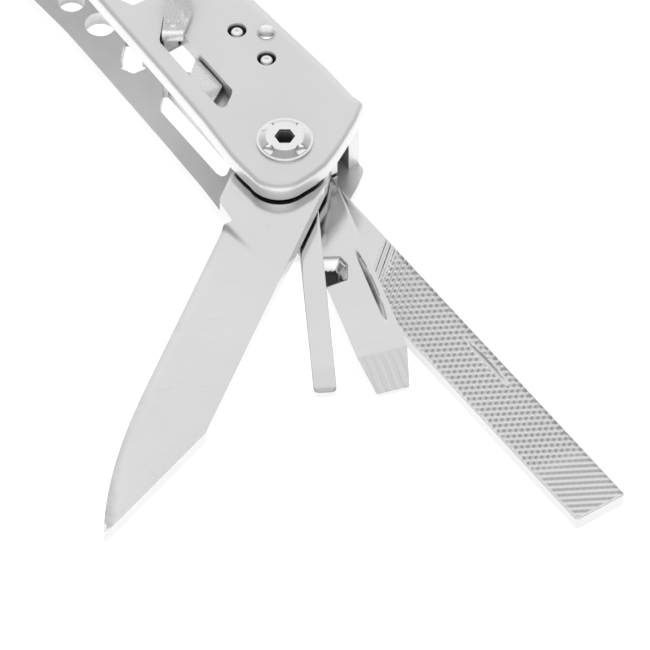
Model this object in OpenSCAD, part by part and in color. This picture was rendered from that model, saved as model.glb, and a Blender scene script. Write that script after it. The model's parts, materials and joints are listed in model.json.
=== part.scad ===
// Plier-type multi tool, lying flat with its jaws pointing along +Y.
// Two channel handles fold round the pliers head, and each carries four tools on one pivot.

/* [Handles] */
// Distance from the tool pivot to the head pivot
handle_length = 92; // [90:1:96]
// Thickness of the two walls of the channel
sheet = 2.4; // [2.2:0.1:2.4]
// Thickness of the web that joins the walls
web_t = 1.8; // [1.6:0.1:2]
// Thickness of the channel over both walls
handle_t = 16.8; // [16.6:0.1:17.4]
// Angle between the two handles when the jaws are closed
spread = 35; // [30:1:40]

/* [Pivots] */
// Diameter of the bore in every tool and wall at the tool pivot
pivot_bore = 5; // [4.6:0.1:5.4]
// Gap all round between a bolt and its bore
bolt_gap = 0.05; // [0.02:0.01:0.08]
// Diameter of the flange of a pivot cap
cap_d = 7.9; // [7.5:0.1:8.2]
// Height of a pivot cap above the wall
cap_h = 1; // [0.8:0.1:1.4]
// Hex key that fits the pivot bolts, across flats
key_af = 2.5; // [2:0.5:3]

/* [Tools] */
// Opening angle of the knife and saw, from folded
knife_open = 125; // [110:1:130]
// Opening angle of the two narrow drivers
small_open = 149.5; // [145:0.5:152]
// Opening angle of the bottle opener and the can opener
large_open = 163; // [160:1:166]
// Opening angle of the file and the serrated blade
file_open = 180; // [176:1:180]
// Length of the long blades from the pivot
blade_len = 73.6; // [68:0.2:74]
// Length of the file and the serrated blade from the pivot
file_len = 71.2; // [66:0.2:72]

/* [Pliers] */
// Thickness of the pliers head
head_t = 6.2; // [6:0.1:6.3]
// Length of the jaws in front of the jaw pivot
jaw_len = 35; // [30:0.5:35]
// Radius of the round half-lap at the jaw pivot
lap_r = 8.5; // [8:0.1:8.6]

/* [Hidden] */
$fn = 64;
steel = [0.83, 0.83, 0.84];
bright = [0.88, 0.88, 0.89];
eps = 0.01;
far = 40;

// Heights: the tool rests on its lower pivot caps
z_low = cap_h;
z_top = cap_h + handle_t;
floor_in = z_low + sheet;
roof_in = z_top - sheet;
// Depth of each tool's upper face below the upper wall's face, and its thickness
knife_at = 2.9;
knife_t = 2.2;
small_at = 6;
small_t = 2;
large_at = 8.9;
large_t = 2.2;
file_at = 12;
file_t = 2;
lock_at = sheet + 0.05;
lock_t = 0.4;
washer_gap = 0.04;
head_mid = z_low + handle_t / 2;
head_low = head_mid - head_t / 2;
head_high = head_mid + head_t / 2;

// Head pivots, and the handle frame: X runs from the tool pivot to the head, Y to the opening
hinge_x = 11;
hinge_y = -15;
hinge_v = -3;
lean = 90 - spread / 2;
pivot_x = -hinge_x - handle_length * cos(lean) + hinge_v * sin(lean);
pivot_y = hinge_y - handle_length * sin(lean) - hinge_v * cos(lean);

// The origin is under the middle of the fanned tool
file_dir = lean + file_open;
tip_y = 0.4;
file_edge = 7.3;
reach_y = pivot_y + file_len * sin(file_dir) + file_edge * cos(file_dir);
shift_y = -(jaw_len + reach_y) / 2;

// Wall outline of a channel, in the handle frame
end_at = [-3, 3];
end_r = 4.6;
head_r = 8.3;
web_end_v = -13.3;
web_mid_v = -11.9;
web_start = 1;
web_stop = 84;
mid_u = 30;

// How far the spanner notches and the hex socket are turned on a pivot cap
notch_turn = 10;
key_turn = -5;

// Pins and holes that the two walls share
rivet_at = [17.9, -9.4];
pin_a_at = [20.6, -6.3];
pin_b_at = [14, -6.7];
hole_a_at = [48.7, 2.3];
hole_b_at = [42.9, 1.4];
wrench_at = [34.4, 1.7];
wrench_af = 3.6;
wrench_turn = 25;
rivet_d = 2;
pin_d = 1.8;
pin_recess_d = 2.7;
pin_recess = 1.1;
slot_low = 0.35;
slot_high = 3.75;
slot_start = 9.9;
slot_stop = 29;
tab_u = 25;

// ---- places ----

// Puts handle-frame shapes at the left-hand handle
module place_a() {
    translate([0, shift_y, 0])
    translate([pivot_x, pivot_y, 0])
    rotate([0, 0, lean])
    children();
}

// Puts handle-frame shapes at the right-hand handle
module place_b() {
    translate([0, shift_y, 0])
    mirror([1, 0, 0])
    translate([pivot_x, pivot_y, 0])
    rotate([0, 0, lean])
    children();
}

// Extrudes a plan shape downward from a depth below the upper wall's face
module layer(depth, thick) {
    translate([0, 0, z_top - depth - thick])
    linear_extrude(thick)
    children();
}

// A round bar between two heights
module bar(at, d, low, high) {
    translate([at[0], at[1], low])
    cylinder(d = d, h = high - low);
}

// Points of an arc, from one angle to another
function arc(at, r, from, to, steps) =
    [for (i = [0:steps]) [
        at[0] + r * cos(from + (to - from) * i / steps),
        at[1] + r * sin(from + (to - from) * i / steps)
    ]];

// ---- channel handle ----

module wall_outline() {
    tool_end = concat(
        [[2, 7.75], [-1, 7.7]], arc(end_at, end_r, 84, 180, 14),
        [[-7.4, 0.2], [-6.9, -2.2], [-5.6, -5.1], [-4.1, -7.8], [-2.4, -10.6]]
    );
    corner = arc([0.5, -11.6], 1.7, 214, 270, 6);
    head_end = arc([handle_length, hinge_v], head_r, -90, 88, 24);
    waist = [[62, 6.7], [54, 6.5], [45, 6.1], [38, 6.2], [20, 6.7], [10, 7.1]];
    polygon(concat(
        tool_end, corner, [[8, web_end_v], [mid_u, web_mid_v], [60, -11.3]],
        head_end, waist
    ));
}

// Space between the walls, which leaves the web
module cavity_outline() {
    polygon([
        [-far, far], [-far, -far], [web_start, -far], [web_start, web_end_v + web_t],
        [8, web_end_v + web_t], [mid_u, web_mid_v + web_t], [60, -11.3 + web_t],
        [web_stop, -11.3 + web_t], [web_stop, -far], [handle_length + far, -far],
        [handle_length + far, far]
    ]);
}

// Slot that the lock slider runs in, with slanted ends
module slot_outline() {
    polygon([
        [slot_start + 2, slot_low + 0.2], [slot_stop - 1, slot_low - 0.1],
        [slot_stop - 0.6, slot_low + 0.4], [slot_stop - 3.6, slot_high - 0.3],
        [slot_stop - 4.2, slot_high],
        [slot_start + 0.9, slot_high + 0.2], [slot_start + 0.1, slot_high - 0.1],
        [slot_start, slot_high - 0.8], [slot_start + 1.3, slot_low + 0.8]
    ]);
}

// Neck that widens the hex opening towards the head, for pulling wire
module wrench_neck() {
    polygon([[34.3, 0.2], [37.4, -1.7], [39.2, -0.4], [36.4, 2.4]]);
}

module handle() {
    color(steel)
    difference() {
        translate([0, 0, z_low])
        linear_extrude(handle_t)
        wall_outline();
        translate([0, 0, floor_in])
        linear_extrude(handle_t - 2 * sheet)
        cavity_outline();
        translate([0, 0, z_low - 1])
        linear_extrude(handle_t + 2) {
            slot_outline();
            translate(wrench_at)
            rotate(wrench_turn)
            circle(d = wrench_af / cos(30), $fn = 6);
            wrench_neck();
        }
        // Window in the lower wall, beside the slot
        translate([0, 0, z_low - 1])
        linear_extrude(sheet + 2)
        polygon(concat(
            arc([30.5, -5.8], 3, 90, 270, 12),
            [[45.5, -8.8], [48, -7], [48, -4.5], [46.5, -2.8]]
        ));
        bar([0, 0], pivot_bore, 0, z_top + 1);
        bar([handle_length, hinge_v], pivot_bore, 0, z_top + 1);
        bar(hole_a_at, 3.8, 0, z_top + 1);
        bar(hole_b_at, 4.4, 0, z_top + 1);
        bar(rivet_at, rivet_d, 0, z_top + 1);
        bar(pin_a_at, pin_d, 0, z_top + 1);
        bar(pin_b_at, pin_d, 0, z_top + 1);
        bar(pin_a_at, pin_recess_d, z_top - pin_recess, z_top + 1);
        bar(pin_b_at, pin_recess_d, z_top - pin_recess, z_top + 1);
    }
}

// ---- pivot hardware, in the handle frame ----

// Flanged conical cap with four spanner notches and a hex socket, pointing up from z = 0
module pivot_cap() {
    flange = 0.35;
    difference() {
        union() {
            cylinder(d = cap_d, h = flange);
            translate([0, 0, flange])
            cylinder(d1 = cap_d - 0.6, d2 = 5.3, h = cap_h - flange);
        }
        translate([0, 0, -1])
        rotate([0, 0, key_turn])
        cylinder(d = key_af / cos(30), h = cap_h + 2, $fn = 6);
        for (turn = [0:90:270])
            rotate([0, 0, notch_turn + turn])
            translate([cap_d / 2 - 0.75, 0, flange + 0.05])
            cylinder(d = 1.5, h = cap_h);
    }
}

// Bolt with its cap on the upper wall and a plain shaft down through both walls
module pivot_bolt(at) {
    color(bright) {
        translate([at[0], at[1], z_top])
        pivot_cap();
        translate([at[0], at[1], 0])
        difference() {
            bar([0, 0], pivot_bore - 2 * bolt_gap, z_low + 0.3, z_top);
            translate([0, 0, z_top - 1.6])
            rotate([0, 0, key_turn])
            cylinder(d = key_af / cos(30), h = 4, $fn = 6);
        }
    }
}

// Matching cap under the lower wall
module pivot_nut(at) {
    color(bright)
    translate([at[0], at[1], z_low])
    mirror([0, 0, 1])
    difference() {
        pivot_cap();
        translate([0, 0, -eps])
        cylinder(d = 2, h = 0.4);
    }
}

// One flat ring between two depths, a hair short of both neighbours
module ring(at, outer, top, bottom) {
    translate([0, 0, z_top - bottom + washer_gap])
    linear_extrude(bottom - top - 2 * washer_gap)
    translate(at)
    difference() {
        circle(d = outer);
        circle(d = pivot_bore);
    }
}

module tool_washers() {
    color(bright)
    for (gap = [
        [sheet, knife_at],
        [knife_at + knife_t, small_at],
        [small_at + small_t, large_at],
        [large_at + large_t, file_at],
        [file_at + file_t, handle_t - sheet]
    ])
        ring([0, 0], 8, gap[0], gap[1]);
}

module head_spacers() {
    head_depth = (handle_t - head_t) / 2;
    color(bright)
    for (gap = [[sheet, head_depth], [handle_t - head_depth, handle_t - sheet]])
        ring([handle_length, hinge_v], 10, gap[0], gap[1]);
}

// Leaf spring inside the web, with one finger for each tool and a root block on the rivet
module back_spring() {
    leaf_low = floor_in + 0.5;
    leaf_high = roof_in - 0.5;
    finger_v = -8.3;
    leaf_t = 1.3;
    drop = 1;
    root_from = 15.7;
    root_to = 20.2;
    slit = 0.7;
    color(steel)
    difference() {
        translate([0, 0, leaf_low])
        linear_extrude(leaf_high - leaf_low)
        polygon([
            [-0.9, finger_v], [9.5, finger_v], [12.5, finger_v - drop],
            [root_from, finger_v - drop], [root_from, -10.5], [root_to, -10.5],
            [root_to, finger_v + 0.6], [root_from, finger_v + 0.6], [root_from, finger_v],
            [12.7, finger_v], [9.7, finger_v + leaf_t], [-0.9, finger_v + leaf_t]
        ]);
        for (depth = [
            (knife_at + knife_t + small_at) / 2,
            (small_at + small_t + large_at) / 2,
            (large_at + large_t + file_at) / 2
        ])
            translate([-5, -20, z_top - depth - slit / 2])
            cube([17, 20, slit]);
        bar(rivet_at, rivet_d, 0, z_top + 1);
    }
}

module spring_rivet() {
    dome_d = 2.7;
    dome_h = 0.7;
    color(bright) {
        bar(rivet_at, rivet_d, z_low, z_top);
        for (side = [0, 1])
            translate([rivet_at[0], rivet_at[1], z_low + side * handle_t])
            mirror([0, 0, 1 - side])
            rotate_extrude()
            polygon(concat([[0, -eps], [dome_d / 2, -eps]], [
                for (i = [0:8]) [dome_d / 2 * cos(i * 11.25), dome_h * sin(i * 11.25)]
            ]));
    }
}

module spring_pins() {
    color(bright)
    for (at = [pin_a_at, pin_b_at])
        bar(at, pin_d, z_low + 0.1, z_top - 0.3);
}

// Sliding lock: a thin plate under the upper wall, a pad and a foot up in the slot, and a thumb tab
module lock_slider() {
    tab_w = 2.7;
    tab_turn = -35;
    foot_from = 24.6;
    foot_low = slot_low + 0.4;
    foot_high = slot_high - 0.55;
    plate_stop = 27.8;
    pad_at = 0.75;
    slot_mid = (slot_low + slot_high) / 2;
    color(steel) {
        layer(lock_at, lock_t)
        difference() {
            translate([slot_start + 0.5, slot_mid - 3.2])
            square([plate_stop - slot_start - 0.5, 6.4]);
            polygon([
                [21.4, slot_low - 0.5], [tab_u - 0.2, slot_low - 0.5],
                [tab_u - 0.2, slot_high + 0.5], [17.6, slot_high + 0.5]
            ]);
        }
        layer(pad_at, lock_at - pad_at + eps)
        polygon([
            [slot_start + 4.2, slot_low + 0.35], [20.5, slot_low + 0.35],
            [18, slot_high - 0.25], [slot_start + 2.6, slot_high - 0.25]
        ]);
        translate([0, 0, z_top - lock_at - eps])
        linear_extrude(lock_at + 0.6)
        polygon([
            [foot_from, foot_low], [slot_stop - 1.4, foot_low],
            [slot_stop - 4.1, foot_high], [foot_from, foot_high]
        ]);
        translate([tab_u - 0.7, slot_mid, z_top])
        rotate([0, 0, tab_turn])
        rotate([90, 0, 0])
        translate([0, 0, -tab_w / 2])
        linear_extrude(tab_w)
        polygon([
            [0, 0.2], [2.6, 0.2], [9.6, 3.9], [9.9, 4.8], [9.3, 5.4], [8.3, 5.4], [0.5, 1.7], [0, 1.3]
        ]);
    }
}

// ---- tools, in the tool frame: X along the tool, Y towards the opening when folded ----

tang_r = 6.4;

module tang_outline() {
    circle(tang_r);
}

module bored(depth, thick) {
    difference() {
        layer(depth, thick)
        children();
        bar([0, 0], pivot_bore, 0, z_top + 1);
    }
}

module knife_outline() {
    polygon([
        [0, -5.9], [3.8, -5.7], [10.8, -5.7], [11.5, -5.3], [13.8, -2.6], [14.7, -3.65],
        [46.3, -3.6], [54.4, -3.2], [61.9, -2.5], [67.7, -1.55], [73, -0.3],
        [blade_len, tip_y], [51.5, 7.2], [3.2, 7.2], [0, 5.9]
    ]);
}

module knife() {
    grind = 3.2;
    color(bright)
    difference() {
        bored(knife_at, knife_t)
        union() {
            tang_outline();
            knife_outline();
        }
        // Flat grinds that thin the blade towards the edge on both faces
        for (side = [0, 1])
            translate([13.8, -3.9, z_top - knife_at - knife_t / 2])
            mirror([0, 0, side])
            translate([0, 0, 0.12])
            rotate([atan2(knife_t / 2 - 0.12, 9.5), 0, 0])
            translate([0, -grind, 0])
            cube([far * 2, 9.5 + grind, 3]);
    }
}

module small_driver() {
    color(bright)
    difference() {
        bored(small_at, small_t)
        union() {
            tang_outline();
            polygon([
                [0, -tang_r], [4, -4.6], [8, 0.8], [40, 0.8], [40.8, 1.6],
                [40.8, 3.3], [40, 4.05], [6, 4.05], [3.2, 5.6], [0, tang_r]
            ]);
        }
        driver_tip(40.8, small_at, small_t);
    }
}

// Two shallow facets that thin a flat driver towards its end
module driver_tip(tip, depth, thick) {
    facet = 7;
    for (side = [0, 1])
        translate([tip, 0, z_top - depth - thick / 2])
        mirror([0, 0, side])
        translate([0, 0, 0.4])
        rotate([0, atan2(thick / 2 - 0.4, facet), 0])
        translate([-facet * 1.02, -far / 2, 0])
        cube([facet * 1.5, far, 3]);
}

module bottle_opener() {
    color(bright)
    difference() {
        bored(large_at, large_t)
        difference() {
            union() {
                tang_outline();
                polygon([
                    [0, -tang_r], [3.2, -5.5], [8.5, -0.4], [33.4, -0.4], [40, 0.4], [40, 5.1],
                    [33.4, 6.9], [3.4, 6.9], [0, tang_r]
                ]);
            }
            polygon([[14, -1], [14, 1.6], [15, 3.6], [17, 4.1], [20.5, 2.6], [19.3, -1]]);
        }
        driver_tip(40, large_at, large_t);
        // Nail nick
        translate([21, 5.45, z_top - large_at])
        rotate([90, 0, 0])
        translate([0, 10.4, -0.5])
        cylinder(r = 11, h = 1, $fn = 96);
    }
}

module file() {
    color(bright)
    difference() {
        bored(file_at, file_t)
        union() {
            tang_outline();
            polygon([
                [0, -tang_r], [3.2, -5.5], [6.5, -0.9], [file_len, -0.9], [file_len, file_edge],
                [3.2, file_edge], [0, tang_r]
            ]);
        }
        // Nail nick
        translate([40.6, 5.65, z_top - file_at])
        rotate([90, 0, 0])
        translate([0, 12.2, -0.4])
        cylinder(r = 12.8, h = 0.8, $fn = 96);
    }
}

// Wood saw with two rows of offset teeth
module saw() {
    pitch = 2.4;
    color(bright)
    difference() {
        bored(knife_at, knife_t)
        union() {
            tang_outline();
            polygon(concat(
                [[0, -5.9], [3.8, -5.7], [10.8, -5.7], [11.5, -5.3], [14.7, -2.4]],
                [for (i = [0:22]) each [
                    [18 + i * pitch, -3.8], [18 + i * pitch + pitch * 0.95, -2.2]
                ]],
                [[72, -1.6], [blade_len, tip_y], [66, 7.2], [3.2, 7.2], [0, 5.9]]
            ));
        }
        translate([30, 5.5, z_top - knife_at])
        rotate([90, 0, 0])
        translate([0, 12.2, -0.4])
        cylinder(r = 12.8, h = 0.8, $fn = 96);
    }
}

module phillips_driver() {
    shaft_r = 1.6;
    mid = z_top - small_at - small_t / 2;
    color(bright) {
        bored(small_at, small_t)
        union() {
            tang_outline();
            polygon([
                [0, -tang_r], [4, -4.6], [8, 0.6], [27, 0.6], [27, 3.8],
                [6, 3.8], [3.2, 5.6], [0, tang_r]
            ]);
        }
        translate([0, 2.2, mid])
        rotate([0, 90, 0])
        difference() {
            translate([0, 0, 26])
            rotate_extrude()
            polygon([
                [0, -0.5], [1.1, -0.5], [shaft_r, 0.5], [shaft_r, 11], [0.5, 14.6], [0, 14.6]
            ]);
            for (turn = [45:90:315])
                rotate([0, 0, turn])
                translate([1.15, 0, 36.5])
                rotate([0, -12, 0])
                rotate([0, 0, -45])
                cube([3, 3, 6]);
        }
    }
}

// Hooked opener with a sharpened inner curve and a narrow driver end
module can_opener() {
    color(bright)
    difference() {
        bored(large_at, large_t)
        difference() {
            union() {
                tang_outline();
                polygon([
                    [0, -tang_r], [3.2, -5.5], [8.5, -0.4], [22, -0.4], [26, -1.6], [30, -0.4],
                    [33, 1.8], [39, 2.2], [39, 5.2], [34, 6.9], [3.4, 6.9], [0, tang_r]
                ]);
            }
            translate([19, -0.6])
            circle(3.6);
        }
        driver_tip(39, large_at, large_t);
        translate([21, 5.6, z_top - large_at])
        rotate([90, 0, 0])
        translate([0, 10.4, -0.4])
        cylinder(r = 11, h = 0.8, $fn = 96);
    }
}

// Serrated blade: a row of round scallops along the edge
module serrated_blade() {
    scallop = 4;
    color(bright)
    difference() {
        bored(file_at, file_t)
        difference() {
            union() {
                tang_outline();
                polygon([
                    [0, -tang_r], [3.2, -5.5], [6.5, -1.6], [64, -1.6], [file_len, 1.8],
                    [file_len, 4], [66, file_edge], [3.2, file_edge], [0, tang_r]
                ]);
            }
            for (i = [0:11])
                translate([17 + i * scallop, -2.5])
                circle(2.05);
        }
        translate([34, 5.65, z_top - file_at])
        rotate([90, 0, 0])
        translate([0, 12.2, -0.4])
        cylinder(r = 12.8, h = 0.8, $fn = 96);
    }
}

// ---- pliers head ----

rivet_r = 3;
tang_end_r = 6.5;
jaw_root = 7.2;
jaw_tip = 2.2;
nose_from = 7.4;

// One jaw half on the right of the middle line, from the pivot forward
module jaw_half_outline() {
    polygon([
        [0.06, 4], [0.06, jaw_len - 0.4], [0.4, jaw_len], [jaw_tip - 0.6, jaw_len],
        [jaw_tip, jaw_len - 0.8], [4.3, 23], [6.3, 14], [jaw_root, nose_from], [jaw_root, 3]
    ]);
}

// Arm from the lap disc down to the head pivot on the left
module arm_outline() {
    hull() {
        translate([-4.6, -5])
        circle(3.6, $fn = 32);
        translate([-hinge_x, hinge_y])
        circle(tang_end_r, $fn = 32);
    }
}

// A jaw with its tang on the left and its nose on the right; the lap disc is its lower half
module jaw(lap_low, lap_high) {
    cut = lap_r + 0.25;
    notch = 1.1;
    color(steel)
    difference() {
        union() {
            difference() {
                translate([0, 0, head_low])
                linear_extrude(head_t)
                union() {
                    jaw_half_outline();
                    arm_outline();
                }
                // Room for the other jaw's lap disc
                translate([0, 0, head_low - 1])
                cylinder(r = cut, h = head_t + 2);
            }
            translate([0, 0, lap_low])
            linear_extrude(lap_high - lap_low)
            union() {
                circle(lap_r);
                intersection() {
                    union() {
                        jaw_half_outline();
                        arm_outline();
                    }
                    circle(lap_r + 1);
                }
            }
        }
        bar([0, 0], 2 * rivet_r, 0, z_top);
        bar([-hinge_x, hinge_y], pivot_bore, 0, z_top);
        // Rounded nose: both faces fall away towards the tip
        for (side = [0, 1])
            translate([-2, nose_from + 6, head_mid])
            mirror([0, 0, side])
            translate([0, 0, head_t / 2])
            rotate([-4.2, 0, 0])
            cube([20, far, 4]);
        // Gripping teeth across the flat of the nose
        for (i = [0:9])
            translate([0, jaw_len - 2.5 - i * notch, head_mid])
            rotate([0, 0, 45])
            cube([0.5, 0.5, head_t + 2], center = true);
        // Round pipe grip and the relief behind it
        translate([-0.6, 18.5, 0])
        cylinder(r = 2.6, h = z_top);
    }
}

module jaw_pair_place() {
    translate([0, shift_y, 0])
    children();
}

module jaw_a() {
    jaw_pair_place()
    jaw(head_low, head_mid - 0.03);
}

module jaw_b() {
    jaw_pair_place()
    mirror([1, 0, 0])
    jaw(head_mid + 0.03, head_high);
}

module jaw_rivet() {
    color(bright)
    jaw_pair_place()
    bar([0, 0], 2 * (rivet_r - bolt_gap), head_low, head_high);
}

// ---- nodes ----

head_at = [handle_length, hinge_v];

place_a() handle();  // handle_a
place_a() pivot_bolt([0, 0]);  // tool_bolt_a
place_a() pivot_nut([0, 0]);  // tool_nut_a
place_a() tool_washers();  // tool_washers_a
place_a() back_spring();  // back_spring_a
place_a() spring_rivet();  // spring_rivet_a
place_a() spring_pins();  // spring_pins_a
place_a() lock_slider();  // lock_slider_a
place_a() pivot_bolt(head_at);  // head_bolt_a
place_a() pivot_nut(head_at);  // head_nut_a
place_a() head_spacers();  // head_spacers_a
place_a() rotate([0, 0, knife_open]) knife();
place_a() rotate([0, 0, small_open]) small_driver();
place_a() rotate([0, 0, large_open]) bottle_opener();
place_a() rotate([0, 0, file_open]) file();

place_b() handle();  // handle_b
place_b() pivot_bolt([0, 0]);  // tool_bolt_b
place_b() pivot_nut([0, 0]);  // tool_nut_b
place_b() tool_washers();  // tool_washers_b
place_b() back_spring();  // back_spring_b
place_b() spring_rivet();  // spring_rivet_b
place_b() spring_pins();  // spring_pins_b
place_b() lock_slider();  // lock_slider_b
place_b() pivot_bolt(head_at);  // head_bolt_b
place_b() pivot_nut(head_at);  // head_nut_b
place_b() head_spacers();  // head_spacers_b
place_b() rotate([0, 0, knife_open]) saw();
place_b() rotate([0, 0, small_open]) phillips_driver();
place_b() rotate([0, 0, large_open]) can_opener();
place_b() rotate([0, 0, file_open]) serrated_blade();

jaw_a();
jaw_b();
jaw_rivet();
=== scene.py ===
"""Looks for the folding multi tool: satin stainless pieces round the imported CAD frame, in metres."""

import json
import math

import bmesh
import bpy
from mathutils import Matrix, Vector
from mathutils.geometry import delaunay_2d_cdt


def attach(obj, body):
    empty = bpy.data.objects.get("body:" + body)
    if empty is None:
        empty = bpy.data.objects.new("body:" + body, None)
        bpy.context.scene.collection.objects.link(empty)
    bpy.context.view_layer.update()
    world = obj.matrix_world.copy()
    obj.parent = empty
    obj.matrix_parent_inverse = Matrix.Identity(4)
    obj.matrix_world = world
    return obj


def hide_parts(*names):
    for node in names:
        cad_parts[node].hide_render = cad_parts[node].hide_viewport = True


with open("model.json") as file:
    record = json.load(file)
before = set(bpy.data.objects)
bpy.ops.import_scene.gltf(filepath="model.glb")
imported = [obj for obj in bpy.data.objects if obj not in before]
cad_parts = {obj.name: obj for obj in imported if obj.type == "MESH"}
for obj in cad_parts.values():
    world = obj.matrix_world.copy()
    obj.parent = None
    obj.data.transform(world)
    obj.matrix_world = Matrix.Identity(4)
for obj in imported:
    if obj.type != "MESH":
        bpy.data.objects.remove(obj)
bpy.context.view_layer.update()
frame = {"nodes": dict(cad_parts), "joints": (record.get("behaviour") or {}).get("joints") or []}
nodes = frame["nodes"]

# ---- dimensions in millimetres, as the CAD has them ----

MM = 0.001
HANDLE_LENGTH = 92.0
HINGE_V = -3.0
SHEET = 2.4
WEB_T = 1.8
WALLS = 16.8
CAP_H = 1.0
Z_LOW = CAP_H
Z_TOP = CAP_H + WALLS
TANG_R = 6.4
BORE_R = 2.5


def joint(name):
    return next(j for j in frame["joints"] if j["name"] == name)


def handle_place(side):
    """Matrix from a handle's own millimetres (X to the head, Y to the opening) to the row frame."""
    pivot = joint({"a": "knife_open", "b": "saw_open"}[side])["pos_m"]
    head = joint("fold_" + side)["pos_m"]
    flip = 1 if side == "a" else -1
    rise = math.atan2(head[1] - pivot[1], flip * (head[0] - pivot[0]))
    lean = rise - math.atan2(HINGE_V, HANDLE_LENGTH)
    return (
        Matrix.Translation((pivot[0], pivot[1], 0))
        @ Matrix.Diagonal((flip, 1, 1, 1))
        @ Matrix.Rotation(lean, 4, "Z")
        @ Matrix.Scale(MM, 4)
    )


PLACE = {side: handle_place(side) for side in "ab"}
SIDE = {
    "knife": "a", "small_driver": "a", "bottle_opener": "a", "file": "a",
    "saw": "b", "phillips_driver": "b", "can_opener": "b", "serrated_blade": "b",
}


def tool_place(tool):
    """Matrix from a tool's own millimetres (X along it, Y to its back) to the row frame."""
    opened = -math.radians(joint(tool + "_open")["range_deg"][0])
    return PLACE[SIDE[tool]] @ Matrix.Rotation(opened, 4, "Z")


def smooth(low, high, value):
    """0 below low, 1 above high, and an easy curve between them."""
    share = min(1.0, max(0.0, (value - low) / (high - low)))
    return share * share * (3 - 2 * share)


# ---- camera: over the left handle's tool end, from the front left ----

AZIMUTH = -52.5
ELEVATION = 49.0
DISTANCE = 4.0
FRAME_WIDTH = 0.0894
LOOK_RIGHT = 5.56
LOOK_AHEAD = -33.75


def make_camera():
    turn, tilt = math.radians(AZIMUTH), math.radians(ELEVATION)
    right = Vector((math.cos(turn), math.sin(turn), 0))
    ahead = Vector((-math.sin(turn), math.cos(turn), 0))
    pivot = PLACE["a"] @ Vector((0, 0, Z_TOP))
    target = pivot + (right * LOOK_RIGHT + ahead * LOOK_AHEAD) * MM
    back = -ahead * math.cos(tilt) + Vector((0, 0, math.sin(tilt)))
    data = bpy.data.cameras.new("camera")
    data.sensor_width = 36
    data.lens = 36 * DISTANCE / FRAME_WIDTH
    data.clip_start, data.clip_end = 0.05, 30
    camera = bpy.data.objects.new("camera", data)
    bpy.context.scene.collection.objects.link(camera)
    camera.location = target + back * DISTANCE
    camera.rotation_mode = "QUATERNION"
    camera.rotation_quaternion = (-back).to_track_quat("-Z", "Y")
    bpy.context.scene.camera = camera


# ---- materials ----


class Tree:
    """A short way to add and join shader nodes."""

    def __init__(self, name):
        self.material = bpy.data.materials.new(name)
        self.material.use_nodes = True
        self.tree = self.material.node_tree
        self.shader = self.tree.nodes["Principled BSDF"]

    def add(self, kind, inputs=None, **settings):
        node = self.tree.nodes.new(kind)
        for key, value in settings.items():
            setattr(node, key, value)
        for key, value in (inputs or {}).items():
            node.inputs[key].default_value = value
        return node

    def join(self, out_socket, in_socket):
        self.tree.links.new(out_socket, in_socket)

    def noise(self, vector, scale, detail):
        node = self.add("ShaderNodeTexNoise", {"Scale": scale, "Detail": detail, "Roughness": 0.6})
        self.join(vector, node.inputs["Vector"])
        return node.outputs["Fac"]

    def fit(self, value, low, high, start=0.0, stop=1.0):
        """Maps start..stop to low..high."""
        node = self.add("ShaderNodeMapRange", {
            "From Min": start, "From Max": stop, "To Min": low, "To Max": high,
        })
        self.join(value, node.inputs["Value"])
        return node.outputs["Result"]

    def maths(self, operation, a, b):
        node = self.add("ShaderNodeMath", operation=operation)
        for value, socket in ((a, node.inputs[0]), (b, node.inputs[1])):
            if isinstance(value, (int, float)):
                socket.default_value = value
            else:
                self.join(value, socket)
        return node.outputs["Value"]


CREVICE = 0.010


def steel(
    name, shade, rough, metallic=1.0, angle=0.0, stretch=30.0, bump=0.15, streak=0.05, painted_gap_shade=(0.12, 0.42),
):
    """Stainless steel: a grind along an angle, clouding, fine scratches, and painted shade deep in the gaps,
    where ambient occlusion darkens the base colour.
    """
    t = Tree(name)
    place = t.add("ShaderNodeTexCoord")
    turn = t.add("ShaderNodeMapping", {"Rotation": (0, 0, -angle), "Scale": (1000, 1000, 1000)})
    t.join(place.outputs["Object"], turn.inputs["Vector"])
    even = turn.outputs["Vector"]
    long = t.add("ShaderNodeMapping", {"Scale": (1 / stretch, 1, 1)})
    t.join(even, long.inputs["Vector"])

    lines = t.noise(long.outputs["Vector"], 7, 5)
    speck = t.noise(even, 4.5, 4)
    cloud = t.noise(even, 0.07, 3)
    mix = t.add("ShaderNodeMix", {"Factor": 0.5}, data_type="FLOAT")
    t.join(speck, mix.inputs["A"])
    t.join(lines, mix.inputs["B"])
    fine = mix.outputs["Result"]
    scratch = t.add("ShaderNodeTexWave", {
        "Scale": 0.35, "Distortion": 14, "Detail": 3, "Detail Scale": 0.6,
    }, wave_profile="SAW")
    t.join(long.outputs["Vector"], scratch.inputs["Vector"])
    nick = t.fit(scratch.outputs["Fac"], 0, 1, 0.97, 1.0)

    tone = t.maths("ADD", t.fit(fine, -streak, streak), t.fit(cloud, shade - 0.04, shade + 0.04))
    # Painted shade: the tone is darkened where ambient occlusion finds the surface closed in by nearby parts
    gap = t.add("ShaderNodeAmbientOcclusion", {"Distance": CREVICE}, samples=6)
    open_share = t.fit(gap.outputs["AO"], painted_gap_shade[0], 1.0, 0.05, painted_gap_shade[1])
    tone = t.maths("MULTIPLY", t.maths("ADD", tone, t.maths("MULTIPLY", nick, -0.04)), open_share)
    colour = t.add("ShaderNodeCombineColor")
    for channel in ("Red", "Green", "Blue"):
        t.join(tone, colour.inputs[channel])
    t.join(colour.outputs["Color"], t.shader.inputs["Base Color"])
    t.join(t.fit(fine, rough * 0.75, rough * 1.25), t.shader.inputs["Roughness"])
    t.shader.inputs["Metallic"].default_value = metallic
    relief = t.add("ShaderNodeBump", {"Strength": bump, "Distance": 0.00004})
    t.join(fine, relief.inputs["Height"])
    t.join(relief.outputs["Normal"], t.shader.inputs["Normal"])
    return t.material


# ---- studio ----


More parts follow.
